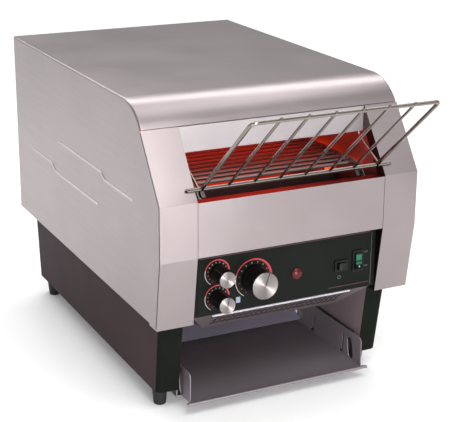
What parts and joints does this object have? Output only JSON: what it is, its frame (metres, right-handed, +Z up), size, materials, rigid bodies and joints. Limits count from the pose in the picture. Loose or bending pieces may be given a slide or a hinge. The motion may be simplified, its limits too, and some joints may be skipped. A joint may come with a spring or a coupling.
{
  "type": "conveyor toaster",
  "caption": "Countertop conveyor toaster: wire feed rack, moving rod belt between heating elements, dials and switches, and a slide-out toast tray.",
  "frame": {"origin": "on the counter, under the middle of the whole machine's outer box, feed rack included", "axes": "+Z up, the front with the dials and the tray faces -Y, +X is on the right of someone who faces the front"},
  "size_m": [0.3696, 0.684, 0.4292],
  "materials": {
    "stainless": "satin",
    "control_plate": "satin",
    "knob": "satin",
    "red_lens": "gloss",
    "green_lens": "gloss",
    "print_red": "satin",
    "print_white": "satin",
    "gloss_black": "gloss",
    "black_plastic": "satin",
    "base_paint": "satin",
    "foot_rubber": "matt",
    "zinc": "satin",
    "inner_steel": "satin",
    "grille_paint": "satin",
    "tray_steel": "satin",
    "chrome_wire": "polished",
    "belt_wire": "satin",
    "chain_steel": "oiled",
    "bronze": "satin",
    "motor_paint": "satin",
    "element": "oxidised",
    "ceramic": "matt",
    "terminal_plastic": "satin"
  },
  "bodies": {
    "chassis": {"hood": "stainless", "front_trim_left": "stainless", "front_trim_right": "stainless", "front_panel": "stainless", "upper_baffle": "inner_steel", "control_panel": "control_plate", "dial_plate": "control_plate", "speed_control": "black_plastic", "heat_controls": "black_plastic", "pilot_lamp": "red_lens", "power_switch": "black_plastic", "standby_switch": "black_plastic", "base_shell": "base_paint", "foot_front_left": "foot_rubber", "foot_front_right": "foot_rubber", "foot_rear_left": "foot_rubber", "foot_rear_right": "foot_rubber", "foot_bolts": "zinc", "cord_gland": "black_plastic", "chassis_deck": "inner_steel", "rear_panel": "stainless", "rear_panel_screws": "zinc", "side_frame_left": "inner_steel", "side_frame_right": "inner_steel", "intake_grille": "grille_paint", "grille_strip": "stainless", "heat_shield": "inner_steel", "chute": "inner_steel", "tray_rails": "inner_steel", "conveyor_belt": "belt_wire", "shaft_bearings": "bronze", "gear_motor": "motor_paint", "drive_chain": "chain_steel", "belt_support": "inner_steel", "upper_elements": "element", "lower_elements": "element", "element_bushes": "ceramic", "element_rests": "inner_steel", "upper_reflector": "inner_steel", "lower_reflector": "inner_steel", "fan_frame": "black_plastic", "terminal_block": "terminal_plastic"},
    "drive": {"drive_shaft": "zinc", "drive_sprockets": "chain_steel", "driven_sprocket": "chain_steel"},
    "idler": {"idler_shaft": "zinc", "idler_sprockets": "chain_steel"},
    "motor_output": {"motor_shaft": "zinc", "motor_sprocket": "chain_steel"},
    "fan_rotor": {"fan_impeller": "black_plastic"},
    "speed_dial": {"speed_knob": "knob", "speed_spindle": "zinc"},
    "top_heat_dial": {"top_heat_knob": "knob", "top_heat_spindle": "zinc"},
    "bottom_heat_dial": {"bottom_heat_knob": "knob", "bottom_heat_spindle": "zinc"},
    "power_button": {"power_rocker": "gloss_black"},
    "standby_button": {"standby_rocker": "gloss_black"},
    "rack": {"feed_rack": "chrome_wire"},
    "tray": {"collector_tray": "tray_steel"}
  },
  "joints": [
    {"name": "drive_spin", "type": "hinge", "parent": "chassis", "child": "drive", "pos_m": [0, -0.16198, 0.2751], "axis": [-1, 0, 0], "continuous": true, "deforming": ["conveyor_belt", "drive_chain"]},
    {"name": "idler_spin", "type": "hinge", "parent": "chassis", "child": "idler", "pos_m": [0, 0.21902, 0.2751], "axis": [-1, 0, 0], "continuous": true},
    {"name": "motor_spin", "type": "hinge", "parent": "chassis", "child": "motor_output", "pos_m": [0.15, -0.08034, 0.17781], "axis": [-1, 0, 0], "continuous": true},
    {"name": "fan_spin", "type": "hinge", "parent": "chassis", "child": "fan_rotor", "pos_m": [-0.1235, -0.09798, 0.1861], "axis": [1, 0, 0], "continuous": true},
    {"name": "speed_knob_turn", "type": "hinge", "parent": "chassis", "child": "speed_dial", "pos_m": [-0.0487, -0.20378, 0.1838], "axis": [0, -1, 0], "range_deg": [-66, 164]},
    {"name": "top_heat_turn", "type": "hinge", "parent": "chassis", "child": "top_heat_dial", "pos_m": [-0.1003, -0.20378, 0.1997], "axis": [0, -1, 0], "range_deg": [-125, 105]},
    {"name": "bottom_heat_turn", "type": "hinge", "parent": "chassis", "child": "bottom_heat_dial", "pos_m": [-0.1003, -0.20378, 0.1654], "axis": [0, -1, 0], "range_deg": [-73, 157]},
    {"name": "power_rocker_rock", "type": "hinge", "parent": "chassis", "child": "power_button", "pos_m": [0.1058, -0.20378, 0.1829], "axis": [1, 0, 0], "range_deg": [0, 16]},
    {"name": "standby_rocker_rock", "type": "hinge", "parent": "chassis", "child": "standby_button", "pos_m": [0.0805, -0.20378, 0.1796], "axis": [0, 0, -1], "range_deg": [0, 16]},
    {"name": "feed_rack_tilt", "type": "hinge", "parent": "chassis", "child": "rack", "pos_m": [0, -0.20998, 0.3141], "axis": [-1, 0, 0], "range_deg": [0, 50]},
    {"name": "tray_slide", "type": "slide", "parent": "chassis", "child": "tray", "axis": [0, -1, 0], "range_m": [0, 0.18]}
  ],
  "couplings": [
    {"joint": "idler_spin", "follows": "drive_spin", "ratio": 1},
    {"joint": "motor_spin", "follows": "drive_spin", "ratio": 1}
  ]
}
